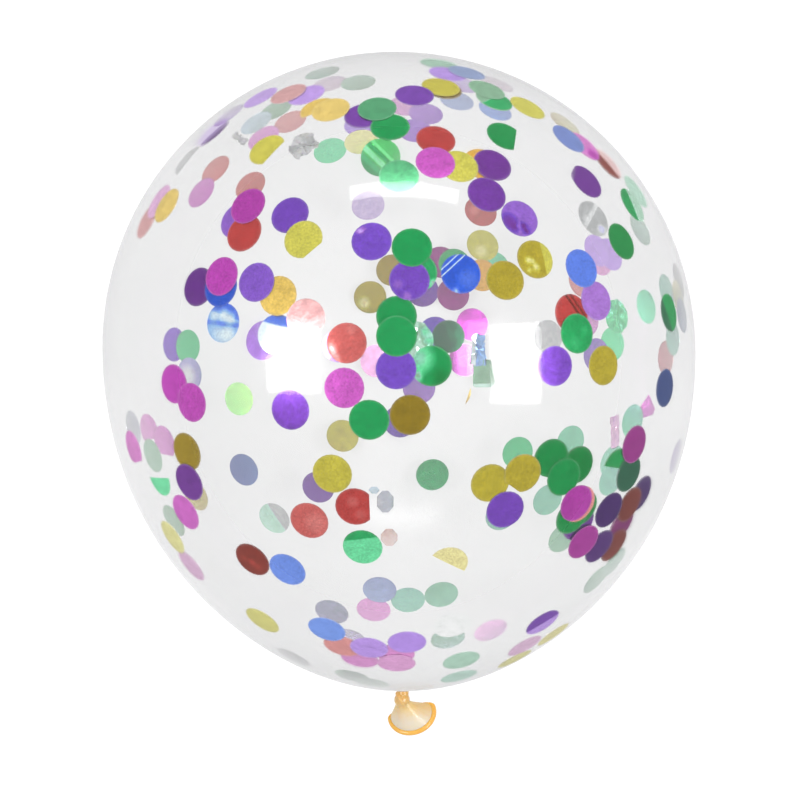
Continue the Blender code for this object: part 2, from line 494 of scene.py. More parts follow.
def amber_latex(name, near_colour, far_colour, start, end, roughness):
    """Latex that changes from one colour to another between two places along Y."""
    latex = Finish(name)
    place = latex.node("ShaderNodeTexCoord", output="Object")
    along = latex.node("ShaderNodeSeparateXYZ", {}, {0: place}, output="Y")
    share = (along - start) / (end - start)
    cloud = latex.noise(place, CLOUD_SCALE, CLOUD_DETAIL)
    share = share + (cloud - 0.5) * CLOUD_DEPTH
    colour = latex.node(
        "ShaderNodeValToRGB", {"stops": [(0.0, near_colour), (1.0, far_colour)]}, {"Fac": share}
    )
    shader = latex.node(
        "ShaderNodeBsdfPrincipled",
        {},
        {
            "Base Color": colour,
            "Roughness": roughness,
            "Subsurface Weight": AMBER_SOAK,
            "Subsurface Radius": AMBER_SOAK_REACH,
            "Subsurface Scale": 1.0,
            "Coat Weight": AMBER_GREASE,
            "Coat Roughness": GREASE_ROUGHNESS,
        },
    )
    return latex.show(shader)


knot_latex = amber_latex(
    "amber_knot", AMBER_GOLD, AMBER_PALE, knot_along + KNOT_FADE, knot_along - KNOT_FADE, KNOT_ROUGHNESS
)

# %% [markdown]
# ## Melting the knot
# Booleans would leave sharp lines where the lump, the strand and the stem meet. So a remesh covers all
# three with one skin of small squares, and a smoothing rounds off the seams.

# %% Knot
KNOT_VOXEL = 0.00018
SOFTEN_SHARE = 0.5
SOFTEN_ROUNDS = 6

knot = new_piece("knot", knot_shape, knot_latex)
melt = knot.modifiers.new("melt", "REMESH")
melt.mode = "VOXEL"
melt.voxel_size = KNOT_VOXEL
melt.use_smooth_shade = True
soften = knot.modifiers.new("soften", "SMOOTH")
soften.factor = SOFTEN_SHARE
soften.iterations = SOFTEN_ROUNDS
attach(knot, "root")
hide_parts("balloon")

# %% [markdown]
# ## Where the tail hangs
# Below the knot the neck opens again like a small trumpet. It droops to one side, its limp underside
# sags flatter than a circle, and soft pleats start at the knot. Sculpting could do that, but a sum for
# each point of a ring gives the same fold all the way along.

# %% Place and folds of the tail
LIP_R = 0.0114
TAIL_REACH = 0.0082
TAIL_SIDE = 0.0045
TAIL_DROP = 0.0078
MOUTH_YAW = math.radians(16.5)
MOUTH_PITCH = math.radians(48)
PLEATS = 7
PLEAT_DEPTH = 0.007
PLEAT_DRIFT = 2  # how unevenly they are spaced
MOUTH_SAG = 0.78  # share by which the limp mouth's underside is flattened
SAG_ONSET = 0.3  # share of the lip's radius over which that sets in

mouth_along = knot_along - TAIL_REACH
mouth_middle = along_axis(mouth_along, side=TAIL_SIDE, lift=-TAIL_DROP)
mouth_turn = (
    Matrix.Rotation(MOUTH_YAW, 4, "Z")
    @ Matrix.Rotation(MOUTH_PITCH, 4, "X")
    @ Matrix.Rotation(QUARTER_TURN, 4, "X")
)
tail_start = Matrix.Translation(knot_middle) @ Matrix.Rotation(QUARTER_TURN, 4, "X")
tail_end = Matrix.Translation(mouth_middle) @ mouth_turn
# which way along a ring's own Y hangs down
UNDERSIDE = -1 if (mouth_turn @ Vector((0, 1, 0))).z > 0 else 1
print("mouth's own Y points up:", UNDERSIDE < 0)


def tail_place(share):
    """Place and turn of the trumpet's ring at this share of the way to the mouth."""
    middle = tail_start.translation.lerp(tail_end.translation, share)
    turn = tail_start.to_quaternion().slerp(tail_end.to_quaternion(), share)
    return Matrix.LocRotScale(middle, turn, None)


def limp(spot, share=1.0):
    """A point of a ring after the mouth has gone limp: the side that hangs down is flattened."""
    down = UNDERSIDE * spot.y
    if down <= 0:
        return spot
    kept = 1 - MOUTH_SAG * share * down / (down + SAG_ONSET * LIP_R)
    return Vector((spot.x, spot.y * kept, spot.z))


def pleated(spot, share):
    """A point of a ring, drawn in or out by the pleats, which fade towards the lip."""
    turn = math.atan2(spot.y, spot.x)
    wave = math.sin(PLEATS * turn + PLEAT_DRIFT * math.sin(2 * turn))
    fold = PLEAT_DEPTH * math.sin(math.pi * share) * wave
    return limp(Vector((spot.x * (1 + fold), spot.y * (1 + fold), spot.z)), share)


# %% [markdown]
# ## The trumpet
# A cone would be too straight. So a circle is extruded ring by ring from the knot to the mouth, turning
# and widening as it goes, and then pleated. A Solidify modifier gives the sheet its wall.

# %% Tail
TAIL_WALL = 0.0005
TAIL_RINGS = 18
TAIL_STEPS = 96
TAIL_FLARE = 1.25  # a higher one keeps it narrow for longer
TAIL_FADE_START = 0.0035  # from the knot's middle, where the amber begins to pale
TAIL_FADE_END = 0.0111
TAIL_ROUGHNESS = 0.55

tail_shape = bmesh.new()
bmesh.ops.create_circle(tail_shape, segments=TAIL_STEPS, radius=NECK_R, matrix=tail_start)
loop = tail_shape.edges[:]
previous, previous_r = tail_start, NECK_R
rings = []
for ring in range(1, TAIL_RINGS + 1):
    share = ring / TAIL_RINGS
    place = tail_place(share)
    radius = NECK_R + (LIP_R - NECK_R) * share**TAIL_FLARE
    made = bmesh.ops.extrude_edge_only(tail_shape, edges=loop)["geom"]
    loop = [part for part in made if isinstance(part, bmesh.types.BMEdge)]
    moved = [part for part in made if isinstance(part, bmesh.types.BMVert)]
    step = place @ Matrix.Scale(radius / previous_r, 4) @ previous.inverted()
    bmesh.ops.transform(tail_shape, matrix=step, verts=moved)
    rings.append((moved, place, share))
    previous, previous_r = place, radius
for moved, place, share in rings:
    for vert in moved:
        vert.co = place @ pleated(place.inverted() @ vert.co, share)
faces_out(tail_shape)

tail_latex = amber_latex(
    "amber_tail", AMBER_PALE, CREAM, knot_along - TAIL_FADE_START, knot_along - TAIL_FADE_END, TAIL_ROUGHNESS
)
tail = new_piece("tail", tail_shape, tail_latex)
wall = tail.modifiers.new("wall", "SOLIDIFY")
wall.thickness = TAIL_WALL
wall.offset = 0

# %% [markdown]
# ## The rolled lip
# The rim was rolled into a bead while the latex was wet. A thicker edge on the trumpet would be square,
# so the bead is a ring of its own that sits on that edge and sags with it.

# %% Rolled lip
BEAD_R = 0.00135
BEAD_STEPS = 24
LIP_ROUGHNESS = 0.25

lip_shape = bmesh.new()
bead = add_ring(lip_shape, LIP_R, BEAD_R, Matrix.Identity(4), steps=TAIL_STEPS, tube_steps=BEAD_STEPS)
for vert in bead:
    vert.co = tail_end @ limp(vert.co)
faces_out(lip_shape)
lip_latex = amber_latex("amber_lip", AMBER_DEEP, AMBER_DEEP, 0, 1, LIP_ROUGHNESS)
lip = new_piece("rolled_lip", lip_shape, lip_latex)
for piece in (tail, lip):
    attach(piece, "root")
    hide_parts("balloon")

# %% [markdown]
# ## One disc of foil
# The confetti is punched from metallised film: thin, stiff discs that static makes cling to the skin. A
# disc could be a flat cylinder, but a real one follows the skin, and some are clipped, creased or
# crumpled. So a disc starts as one radius that is spun into a round sheet. It is tinted, cut and
# crumpled while flat, then laid against the skin, and creased last, because a crease stands off it.

# %% A round sheet
DISC_R = 0.0093
DISC_SIDES = 24
DISC_NOTES = ("shade", "reach")  # kept at each point: its shade, and its share of the way to the rim


def round_sheet(rings):
    """A flat round sheet of foil."""
    sheet = bmesh.new()
    for name in DISC_NOTES:
        sheet.verts.layers.float.new(name)
    spokes = [sheet.verts.new((DISC_R * ring / rings, 0, 0)) for ring in range(rings + 1)]
    edges = [sheet.edges.new(pair) for pair in zip(spokes, spokes[1:])]
    spin_round(sheet, spokes + edges, DISC_SIDES)
    bmesh.ops.remove_doubles(sheet, verts=sheet.verts, dist=WELD)
    return sheet


# %% [markdown]
# ## Creases, and painted highlights and shade
# A crease is a line scored over the sheet, with what lies beyond it turned down. Where foil bends it
# catches the light, and that is painted in another shade, as a straight band or a soft spot: painted
# glints and streaks where it would mirror a lamp, and painted shade where a fold would turn away from
# it. An image could paint those, but a shade kept at each point needs none.

# %% Crease and tint
BAND_EDGE = 0.05  # share of the radius over which a band begins and ends
BAND_SLACK = 0.001  # lets the points scored on a band's own edge count as in it


def score(sheet, way, share, clip=False):
    """A straight line over the sheet, square to a way, at a share of the radius."""
    cut_along(sheet, way * (share * DISC_R), way, clip)


def crease(sheet, way, share, bend_deg):
    """Folds what lies beyond a line down, away from the skin."""
    score(sheet, way, share)
    spot = way * (share * DISC_R)
    beyond = [vert for vert in sheet.verts if (vert.co - spot).dot(way) > WELD]
    hinge = Matrix.Rotation(math.radians(bend_deg), 4, Vector((0, 0, 1)).cross(way))
    bmesh.ops.rotate(sheet, cent=spot, matrix=hinge, verts=beyond)


def tint(sheet, shade, bands, spots):
    """Gives a flat disc its shade, with straight bands and soft spots of painted highlight and painted
    shade.
    """
    for way, start, end, _ in bands:
        for share in (start - BAND_EDGE, start, end, end + BAND_EDGE):
            score(sheet, way, share)
    shades, reaches = sheet.verts.layers.float["shade"], sheet.verts.layers.float["reach"]
    for vert in sheet.verts:
        vert[shades] = shade
        vert[reaches] = vert.co.length / DISC_R
        for way, start, end, band_shade in bands:
            if start - BAND_SLACK < vert.co.dot(way) / DISC_R < end + BAND_SLACK:
                vert[shades] = band_shade
        for way, share, reach, spot_shade in spots:
            away = (vert.co - way * (share * DISC_R)).length / (reach * DISC_R)
            if away < 1:
                vert[shades] += (spot_shade - vert[shades]) * (1 - away**2)


# %% [markdown]
# ## Crumples and thickness
# A crumpled disc has facets that lie every way. Smooth noise would only make it wavy, so each point of
# a coarse sheet takes a random step. Last of all a sheet gets the foil's thickness.

# %% Crumple and thicken
FOIL_THICKNESS = 0.00006
CRISP = math.radians(4)


def thicken(sheet):
    """Gives the foil its thickness, with a crisp rim and crisp creases."""
    made = bmesh.ops.extrude_face_region(sheet, geom=sheet.faces[:], use_keep_orig=True)["geom"]
    lower = [part for part in made if isinstance(part, bmesh.types.BMVert)]
    bmesh.ops.translate(sheet, vec=(0, 0, -FOIL_THICKNESS), verts=lower)
    faces_out(sheet)
    for edge in sheet.edges:
        edge.smooth = edge.is_manifold and edge.calc_face_angle() < CRISP


def crumple(sheet, height, chance):
    """Crushes the sheet into small facets, by a random step up to this height at each point."""
    for vert in sheet.verts:
        step = Vector((chance.uniform(-0.5, 0.5), chance.uniform(-0.5, 0.5), -chance.random()))
        vert.co += step * height


# %% [markdown]
# ## Where a disc lies
# Every place was read from the picture as a pixel. The line of sight through it meets the skin twice:
# on the near side, and on the far side. The skin's own facets would tilt a disc, so the way that it
# faces is measured over the width of one.

# %% Finding a place on the skin
SLOPE_REACH = 0.006  # how far round a spot the skin's slope is measured
PAST_SKIN = 0.001  # past the near wall, where the search for the far one starts
ALMOST_SIDEWAYS = 0.3  # how little of +X is left along a skin that faces almost that way


def skin_slope(spot, guess):
    """The way that the skin faces over the width of a disc."""
    side = guess.orthogonal().normalized()
    up = guess.cross(side)
    ends = [skin_tree.find_nearest(spot + SLOPE_REACH * way)[0] for way in (side, -side, up, -up)]
    facing = (ends[0] - ends[1]).cross(ends[2] - ends[3]).normalized()
    return facing if facing.dot(guess) > 0 else -facing


def seen_on_skin(across_px, down_px, wall):
    """Spot on the skin and the way it faces, where a pixel's line of sight meets this wall."""
    way = line_of_sight(across_px, down_px)
    spot, facing = skin_tree.ray_cast(eye, way)[:2]
    if spot is not None and wall == "far":
        spot, facing = skin_tree.ray_cast(spot + PAST_SKIN * way, way)[:2]
    if spot is None:
        return None
    return spot, skin_slope(spot, facing)


def disc_turn(facing):
    """Turns a flat disc so that +Z faces out of the skin and +X stays across the picture."""
    side = Vector((1, 0, 0)) - facing * facing.x
    if side.length < ALMOST_SIDEWAYS:
        up = Vector((0, 1, 0)) - facing * facing.y
        side = up.cross(facing) * (1 if facing.z > 0 else -1)
    side.normalize()
    return Matrix((side, facing.cross(side), facing)).transposed()


def way_on_disc(turn, turn_deg):
    """The way over a flat disc that looks like this angle in the picture, counted from +X to the top."""
    angle = math.radians(turn_deg)
    facing = turn @ Vector((0, 0, 1))
    line = Vector((-math.sin(angle), math.cos(angle), 0))
    line.z = -(facing.x * line.x + facing.y * line.y) / facing.z
    along = turn.inverted() @ line
    way = Vector((along.y, -along.x, 0)).normalized()
    seen = turn @ way
    return way if seen.x * math.cos(angle) + seen.y * math.sin(angle) > 0 else -way


# %% [markdown]
# ## Lying against the film
# A Shrinkwrap modifier could press each disc on the skin, but a line cast from each point does it before
# the creases are made. A disc lies one step further from the film than all before it that it overlaps.

# %% Laying discs on the skin
CAST_START = 0.004  # how far inside a point's search for the skin starts
SKIN_GAP = 0.00025  # between the film and the first disc
STACK_STEP = 0.00018  # between discs that lie on each other
OVERLAP = 1.9  # discs whose middles are fewer radii apart overlap


def follow_skin(sheet, place, facing):
    """Lays every point of a flat disc against the skin."""
    for vert in sheet.verts:
        level = vert.co.z
        spot = place @ Vector((vert.co.x, vert.co.y, 0))
        hit = skin_tree.ray_cast(spot - CAST_START * facing, facing)[0]
        if hit is not None:
            vert.co.z = level + (hit - spot).dot(facing)


class Pile:
    """The discs laid so far on one wall, which tells how deep the next one lies."""

    def __init__(self, wall):
        self.wall = wall
        self.laid = []

    def depth(self, spot):
        """How far inside the film the next disc lies, below all that it overlaps."""
        above = [level for other, level in self.laid if (other - spot).length < OVERLAP * DISC_R]
        level = max(above) + 1 if above else 0
        self.laid.append((spot.copy(), level))
        return SKIN_GAP + STACK_STEP * level


# %% [markdown]
# ## The confetti, disc by disc
# Discs strewn at random wouldn't lie where the real ones do, so each has an entry: a colour, the pixel
# across and down, and a shade, which is a place on its colour's card, mostly from 0, deep, to 1, pale.
# A shade is partly the disc's own tone and partly painted light and shade: paler or deeper for how
# brightly the disc would mirror the room and the lamps, paler on the far wall as a painted veil of the
# film in front, and deeper near the outline, as painted shade where it would mirror darker surroundings.
# Words after that say what is special. Clips and creases lie square to an angle in the picture at a
# share of the radius, and a crease also gives the degrees that it bends. Bands have two shares and a
# shade, and spots a share, a reach and a shade. On each wall the disc against the film comes first,
# and what lies under it follows.
# Bands and spots are painted highlights and painted shade: glints and streaks where a disc would mirror a
# lamp, and dark lines where a fold would lie in shade.

# %% Confetti on the near wall
NEAR = [
    # round the crown, from left to right
    ("red", 288, 93, 0.9), ("purple", 306, 94, 0.88), ("purple", 260, 97, 0.92), ("gold", 330.5, 109, 0.86),
    ("gold", 318.5, 108.5, 0.87, {"clips": [(-70, 0.25)]}), ("green", 377, 108, 0.14),
    ("green", 390, 126, 0.43), ("purple", 363.5, 114.5, 0.3), ("green", 399, 175.5, 0.14),
    ("green", 380, 152.5, 0.151, {
        "bands": [
            (50, -0.32, -0.1, 0.18), (50, 0.02, 0.14, 0.5), (50, 0.24, 0.36, 0.17), (50, -1.1, -0.48, 0.6),
            (50, -1.1, -0.72, 0.45)],
        "creases": [(-90, -0.97, 24)]}),
    ("purple", 414.5, 94.5, 0.33), ("gold", 441, 86, 0.5), ("gold", 443, 88, 0.03), ("blue", 467, 72, 0.21),
    ("purple", 448, 73, 0.84), ("green", 439, 63, 0.96), ("green", 487, 89, 0.93),
    ("green", 494.5, 99, 0.93, {"bands": [(-60, -0.1, 1.1, 0.5)]}), ("gold", 528, 107, 0.6),
    ("magenta", 435.5, 162, 0.55), ("red", 436, 139, 0.47), ("gold", 459, 165.5, 0.6),
    ("purple", 487, 194, 0.3), ("purple", 493, 164, 0.26), ("gold", 483, 163, 0.94),
    ("green", 505.5, 135.5, 0.36, {"clips": [(-10, 0.55)]}),
    ("purple", 520, 218, 0.6, {
        "spots": [
            (205, 0.65, 0.55, 0.3), (235, 0.6, 0.35, 0.25), (288, 0.45, 0.25, 0.2), (290, 0.75, 0.25, 0.2),
            (252, 0.45, 0.16, 0.68), (264, 0.75, 0.18, 0.68)]}),
    ("blue", 569, 138, 0.305), ("magenta", 585.5, 145.5, 0.72, {"spots": [(-60, 0.7, 0.6, 0.4)]}),
    ("red", 608.5, 163, 0.2, {"bands": [(40, 0.0, 1.1, 0.95)]}),
    ("purple", 587, 181, 0.2, {"creases": [(170, 0.8, 60)]}),
    # left, high
    ("gold", 266.5, 149, 0.55, {"clips": [(-42, 0.55)]}),
    ("purple", 212.5, 131.5, 0.9, {"bands": [(-48, 0.3, 1.1, 0.15)], "creases": [(132, -0.9, 8)]}),
    ("gold", 166, 205, 0.86), ("magenta", 158, 201, 0.9), ("red", 146, 220.5, 0.9),
    ("magenta", 247.5, 205.5, 0.42), ("red", 243.5, 232.5, 0.5), ("purple", 236.5, 219.5, 0.6),
    ("gold", 303, 239, 0.6, {"clips": [(-50, 0.8)]}), ("purple", 289.5, 214.5, 0.44),
    ("magenta", 221, 276, 0.5), ("blue", 220, 287, 0.42), ("purple", 197.5, 286.5, 0.2),
    ("blue", 222, 322.5, 0.55, {
        "bands": [(250, -0.35, 1.1, 0.86), (262, -0.04, 0.14, 0.7)],
        "spots": [
            (82, 0.4, 0.45, 1.0), (18, 0.5, 0.45, 1.0), (147, 0.65, 0.4, 0.98), (208, 0.7, 0.5, 0.92),
            (255, 0.65, 0.55, 0.97), (304, 0.7, 0.55, 1.0)]}),
    ("purple", 256, 282, 0.55), ("gold", 277.5, 295.5, 0.87), ("red", 305.5, 318.5, 0.9),
    ("blue", 275, 334, 1.0, {"bands": [(75, 0.48, 1.1, 0.62)], "creases": [(90, -0.97, 4.5)]}),
    ("purple", 262, 340, 0.75, {"creases": [(90, -0.97, 7)]}),
    # middle, high
    ("purple", 371.5, 241, 0.5, {"spots": [(131, 0.8, 0.2, 1.0)]}), ("green", 412, 247, 0.45),
    ("purple", 409.5, 280, 0.46, {"spots": [(200, 0.6, 0.35, 0.62), (262, 0.8, 0.3, 0.68)]}),
    ("green", 417, 272, 0.5, {"spots": [(-35, 0.95, 0.25, 1.0)]}),
    ("blue", 461, 273.5, 0.46, {
        "bands": [(133, 0.53, 0.55, 1.0), (133, 0.78, 0.8, 1.0)],
        "spots": [(255, 0.92, 0.2, 1.0), (-35, 0.45, 0.7, 0.6)]}),
    ("gold", 505.5, 280, 0.33),
    ("gold", 535.5, 259, 0.36, {
        "bands": [(12, 0.5, 1.1, 0.6)],
        "spots": [
            (195, 0.4, 0.25, 0.75), (215, 0.2, 0.2, 0.72), (268, 0.4, 0.28, 0.75), (235, 0.7, 0.2, 0.72)]}),
    # right, high
    ("green", 633, 204.5, 0.42, {"bands": [(20, 0.0, 1.1, 0.96)]}), ("green", 636.5, 191, 0.975),
    ("silver", 594, 218, 0.05, {
        "bands": [(150, 0.1, 0.3, 0.25)],
        "spots": [(-50, 0.7, 0.3, 0.55), (200, 0.5, 0.3, 0.25)]}),
    ("green", 622, 241, 0.3), ("blue", 582, 268, 0.66), ("purple", 597, 300.5, 0.7),
    ("green", 577.5, 333.5, 0.48, {"spots": [(250, 0.5, 0.4, 0.56), (20, 0.5, 0.25, 0.55)]}),
    ("red", 572.5, 313.5, 0.5, {"bands": [(35, 0.3, 0.38, 0.05), (35, 0.55, 0.62, 0.1)]}),
    ("purple", 555.5, 366, 0.42), ("gold", 604, 365.5, 0.36),
    ("green", 669.5, 312.5, 0.4, {"bands": [(200, 0.25, 1.1, 0.12)]}), ("blue", 665.5, 388, 0.02),
    # middle
    ("green", 396.5, 336, 0.46), ("green", 396.5, 316, 0.43), ("purple", 396, 369, 0.5),
    ("green", 432, 366, 0.43, {
        "spots": [(150, 0.75, 0.95, 0.85), (216, 0.85, 0.3, 1.0), (-50, 0.75, 0.6, 0.3)]}),
    ("green", 414, 341, 0.98, {"crumple": 0.0008, "spots": [(0, 0.85, 0.35, 0.7), (40, 0.8, 0.35, 0.72)]}),
    ("red", 346.5, 343, 0.6, {
        "spots": [
            (190, 0.8, 0.22, 1.0), (203, 0.75, 0.22, 1.0), (216, 0.8, 0.22, 1.0), (232, 0.85, 0.25, 0.9),
            (70, 0.7, 0.3, 0.72)]}),
    ("green", 369, 420, 0.46), ("magenta", 344, 388, 0.56), ("gold", 410, 415, 0.15),
    ("purple", 290, 410, 0.38),
    # left, low
    ("magenta", 191, 402.5, 0.52), ("magenta", 173, 384, 0.48), ("purple", 188.5, 482.5, 0.22),
    ("gold", 186, 452, 0.18), ("magenta", 185, 512.5, 0.6),
    ("green", 158.5, 478, 0.77, {"clips": [(90, 0.0)]}), ("gold", 172, 537.5, 0.74),
    ("magenta", 190.5, 566, 0.92), ("magenta", 133, 449, 0.76, {"clips": [(-75, 0.72), (-125, 0.85)]}),
    ("red", 252, 560, 0.18, {
        "spots": [(250, 0.2, 0.3, 0.36), (300, 0.5, 0.3, 0.3), (190, 0.5, 0.3, 0.26)]}),
    ("blue", 287, 570, 0.76), ("gold", 262, 621, 0.68),
    # middle, low
    ("gold", 332, 474, 0.5), ("red", 309, 521, 0.6, {"spots": [(-10, 0.35, 0.7, 0.72)]}),
    ("red", 355, 507, 0.48, {"clips": [(2, 0.72)], "spots": [(110, 0.3, 0.4, 0.6), (-60, 0.5, 0.4, 0.58)]}),
    ("green", 362.5, 547.5, 0.76, {"bands": [(97, 0.5, 1.1, 0.5)]}),
    ("gold", 448.5, 564, 0.8, {"clips": [(-117, 0.0)]}), ("blue", 326.5, 630, 0.78),
    ("purple", 369, 648.5, 0.84), ("red", 342, 647, 0.82), ("magenta", 359.5, 660, 0.8),
    ("purple", 407, 643, 0.8), ("magenta", 396.5, 664, 0.84), ("magenta", 395.5, 655, 0.78),
    ("silver", 452.5, 626, 1.0), ("green", 461.5, 661, 0.97), ("green", 459, 677, 1.0),
    ("purple", 543, 623, 0.35, {"bands": [(-60, 0.1, 1.1, 0.85)]}), ("magenta", 525, 646.5, 0.93),
    ("gold", 515, 659.5, 0.77), ("gold", 553.5, 635, 0.79),
    # right, low
    ("purple", 505.5, 510, 0.42), ("gold", 523, 473.5, 0.36, {"clips": [(-125, 0.85)]}),
    ("gold", 490.5, 483.5, 0.4), ("magenta", 577, 503.5, 0.37), ("green", 564.5, 477.5, 0.38),
    ("green", 552, 458.5, 0.34), ("green", 578.5, 465.5, 0.3), ("red", 580, 504.5, 0.78),
    ("green", 573, 517, 0.34), ("green", 583, 509, 0.28), ("purple", 609.5, 510.5, 0.0),
    ("magenta", 584, 542.5, 0.27), ("purple", 580, 524, 0.2), ("purple", 600, 547, 0.05),
    ("red", 615, 546, 0.1), ("red", 630.5, 505, 0.07), ("purple", 642, 494, 0.0),
    ("magenta", 623, 525, 0.04), ("magenta", 635, 444.5, 0.16), ("green", 629.5, 474, 0.06),
    ("green", 617.5, 467.5, 0.37, {"clips": [(-100, 0.05)]}),
]

# %% [markdown]
# ## Seen through the film
# The far wall's discs show through the skin, between the near ones. They have a list of their own,
# because their lines of sight meet the skin twice.

# %% Confetti on the far wall
FAR = [
    # crown and left, high
    ("purple", 228, 114.5, 0.85), ("green", 322, 72, 0.9), ("magenta", 329, 83, 1.0),
    ("green", 358, 81.5, 0.965), ("green", 275.5, 109, 0.94), ("blue", 255.5, 122, 0.96),
    ("red", 290, 121, 0.82), ("magenta", 263, 137, 0.78),
    ("silver", 302, 144, 0.25, {
        "crumple": 0.0015,
        "spots": [(0, 0.5, 0.6, 0.0), (200, 0.6, 0.4, 0.0)],
        "clips": [(150, 0.8), (35, 0.86), (-60, 0.82), (-135, 0.88)]}),
    ("silver", 237, 138, 0.25, {"crumple": 0.0016, "clips": [(60, 0.3), (-120, 0.1), (180, 0.5)]}),
    ("green", 330, 150, 0.78), ("purple", 361, 124, 0.8), ("gold", 361, 141, 0.76),
    ("magenta", 406, 105, 0.85), ("purple", 426, 113, 0.7), ("purple", 415, 129.5, 0.65),
    ("blue", 457, 100, 0.24), ("purple", 463, 84, 0.95), ("magenta", 497, 83, 1.0),
    ("blue", 495.5, 109.5, 0.82), ("gold", 565.5, 123, 0.77),
    ("silver", 187, 160, 0.05, {"clips": [(-40, 0.15)]}), ("red", 215, 169, 0.6),
    ("magenta", 200.5, 192, 0.58), ("red", 250, 185.5, 0.6), ("purple", 368, 205, 1.0),
    # middle, high
    ("red", 481, 211, 0.55, {"spots": [(180, 0.4, 0.4, 0.75)]}), ("green", 494, 267, 0.8),
    ("gold", 482, 275, 0.95), ("gold", 483, 245, 0.6, {"spots": [(250, 0.4, 0.5, 0.74)]}),
    ("magenta", 441, 262, 0.25), ("green", 455, 264, 0.5), ("magenta", 453.5, 294, 0.2),
    ("purple", 422.5, 290.5, 0.35), ("gold", 392.5, 270, 0.25),
    ("gold", 370, 297, 0.35, {"spots": [(225, 0.5, 0.5, 0.84)]}), ("purple", 435, 333, 0.5),
    ("magenta", 472.5, 324.5, 0.5), ("magenta", 465, 360, 0.6), ("green", 448.5, 336.5, 0.1),
    ("green", 485, 374, 0.93, {
        "bands": [(-90, 0.62, 1.1, 1.0)],
        "clips": [(180, 0.72), (12, 0.68), (-90, 0.82), (90, 0.85)],
        "creases": [(0, -0.95, 12)]}),
    ("gold", 455, 392, 0.86, {"clips": [(162, -0.84)]}),
    ("blue", 480, 350.5, 0.88, {
        "crumple": 0.0012,
        "bands": [(180, 0.2, 1.1, 1.0)],
        "creases": [(0, -0.5, 10)],
        "clips": [(175, 0.5), (5, 0.45)]}),
    ("magenta", 376, 361, 0.85, {"creases": [(180, -0.9, 13)]}), ("purple", 338, 346, 0.9),
    ("purple", 419, 387.5, 0.72), ("purple", 400, 421.5, 0.5), ("gold", 342.5, 436, 0.55),
    ("purple", 173.5, 344.5, 0.45), ("green", 187, 346.5, 0.65),
    ("silver", 188.5, 374.5, 0.4, {"spots": [(200, 0.2, 0.8, 0.56)]}), ("silver", 238.5, 399, 0.88),
    # left, low
    ("silver", 132.5, 428, 0.3), ("magenta", 148.5, 431, 0.78, {"clips": [(-80, 0.5)]}),
    ("magenta", 163.5, 442.5, 0.76, {"clips": [(-105, 0.75)]}), ("green", 151.5, 456, 0.94),
    ("gold", 195, 495, 0.66), ("green", 173, 521, 0.93), ("blue", 243.5, 470, 0.14),
    ("silver", 274, 518.5, 0.76, {"bands": [(35, 0.2, 1.1, 0.2)]}), ("purple", 318, 487.5, 0.3),
    ("blue", 374, 491.5, 0.97, {
        "clips": [
            (0, 0.3), (180, 0.35), (-90, 0.2), (90, 0.22), (45, 0.26), (-45, 0.24), (135, 0.28),
            (-135, 0.26)],
        "creases": [(90, -0.9, 14)]}),
    ("silver", 385, 503, 0.27, {
        "clips": [
            (0, 0.5), (180, 0.5), (90, 0.66), (-90, 0.66), (45, 0.57), (-45, 0.57), (135, 0.57),
            (-135, 0.57)],
        "creases": [(90, -0.9, 14)]}),
    ("red", 389, 539, 1.0, {
        "clips": [
            (0, 0.5), (180, 0.5), (90, 0.54), (-90, 0.54), (45, 0.5), (-45, 0.5), (135, 0.5), (-135, 0.5)],
        "creases": [(90, -0.9, 12)]}),
    ("green", 432.5, 475, 0.5), ("magenta", 373.5, 610, 0.8), ("green", 408, 600.5, 0.86),
    ("green", 441.5, 595, 0.88), ("blue", 379.5, 590.5, 0.25), ("silver", 331.5, 612.5, 0.42),
    ("green", 448, 639, 0.9), ("silver", 349, 640, 0.2), ("magenta", 491, 631, 0.95),
    ("green", 352, 677, 0.93), ("green", 371, 684, 0.94), ("silver", 293, 658, 0.05),
    # right
    ("green", 518, 453, 0.65), ("green", 571, 442, 0.82), ("green", 548, 500, 0.84),
    ("green", 501.5, 515.5, 0.86), ("green", 563, 538, 0.92),
    ("magenta", 616, 432, 0.92, {"crumple": 0.0008, "clips": [(180, 0.35), (0, 0.35)]}),
    ("magenta", 647.5, 404, 0.66, {"clips": [(150, 0.35), (20, 0.45), (-70, 0.75)]}),
    ("green", 633.5, 421.5, 0.78), ("green", 613, 462, 0.84), ("green", 612, 480, 0.82),
    ("green", 597, 580, 0.95), ("green", 615, 563, 0.97), ("purple", 676.5, 456.5, 0.8),
    ("red", 666.5, 358, 0.84), ("green", 647, 306.5, 0.74), ("green", 667.5, 291, 0.86),
    ("green", 674, 338, 0.86), ("silver", 679.5, 280.5, 0.0), ("gold", 679.5, 297.5, 0.8),
    ("blue", 683.5, 315, 0.12), ("green", 613, 344, 0.76), ("green", 618, 316, 0.73, {"crumple": 0.0009}),
    ("magenta", 586, 320, 0.82), ("purple", 597, 355, 0.75), ("silver", 548.5, 336.5, 0.2),
    ("red", 582.5, 281, 0.82), ("magenta", 600, 259, 0.83), ("purple", 611, 254, 0.84),
    ("purple", 598, 250, 0.86), ("green", 641, 229, 0.97),
]

# %% [markdown]
# ## Building the confetti
# Each disc could be an object of its own, but all discs of one colour become one mesh, because they
# share a material and nothing moves. The shade of each disc is kept in an attribute, which the material
# reads, so that one gold foil can give olive, yellow and orange discs.

# %% Build the discs
COLOURS = ("purple", "green", "magenta", "red", "gold", "blue", "silver")
DISC_RINGS = 1  # of a plain disc
FINE_RINGS = 8  # of one with anything special, or near the flat spot that the balloon rests on
CRUSHED_RINGS = 3  # of a crumpled one, which has larger facets
REST_SLOPE = -0.93  # how squarely the skin faces down round the flat spot
SEED = 7
chance = random.Random(SEED)


